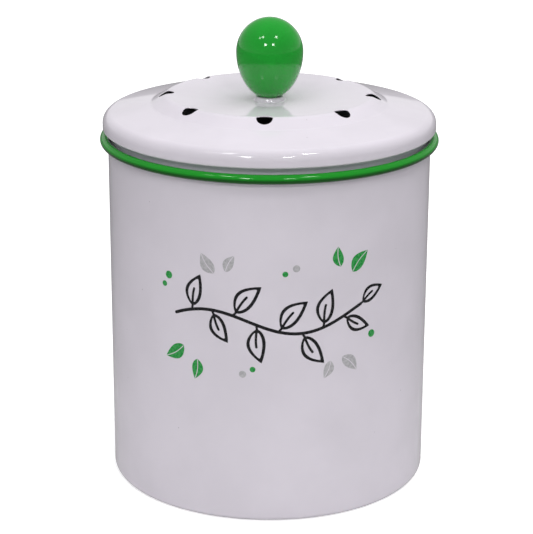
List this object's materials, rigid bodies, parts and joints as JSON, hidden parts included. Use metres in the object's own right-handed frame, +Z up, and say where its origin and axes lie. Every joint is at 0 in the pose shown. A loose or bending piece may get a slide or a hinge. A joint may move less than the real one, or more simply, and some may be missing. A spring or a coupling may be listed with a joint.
{
  "type": "compost caddy",
  "caption": "Round enamelled steel compost caddy with a rolled rim and a vented lift-off lid that holds a charcoal filter in a turn-lock tray.",
  "frame": {"origin": "centre of the base, on the surface that the caddy stands on", "axes": "+Z up along the caddy's axis, front with the printed decoration towards -Y, +X to the right seen from the front"},
  "size_m": [0.1932, 0.1932, 0.2668],
  "materials": {
    "body_enamel": "gloss white enamel on steel",
    "rim_enamel": "gloss green enamel on steel",
    "lid_enamel": "gloss white enamel on steel",
    "gasket_silicone": "matt translucent silicone",
    "clip_steel": "plain sheet steel",
    "fastener_steel": "zinc plated",
    "insert_brass": "turned",
    "knob_green": "high gloss green",
    "tray_plastic": "satin moulded polypropylene",
    "charcoal_felt": "needle felt"
  },
  "bodies": {
    "caddy": {"body_shell": "body_enamel", "rim_bead": "rim_enamel"},
    "lid": {"lid_pan": "lid_enamel", "lid_collar": "lid_enamel", "lid_gasket": "gasket_silicone", "filter_clips": "clip_steel", "knob": "knob_green", "knob_insert": "insert_brass", "knob_screw": "fastener_steel", "spring_washer": "fastener_steel", "flat_washer": "fastener_steel"},
    "tray": {"filter_tray": "tray_plastic", "charcoal_filter": "charcoal_felt"}
  },
  "joints": [
    {"name": "lid_lift", "type": "slide", "parent": "caddy", "child": "lid", "axis": [0, 0, 1], "range_m": [0, 0.15]},
    {"name": "tray_turn", "type": "hinge", "parent": "lid", "child": "tray", "pos_m": [0, 0, 0.205], "axis": [0, 0, 1], "range_deg": [-30, 0]}
  ]
}
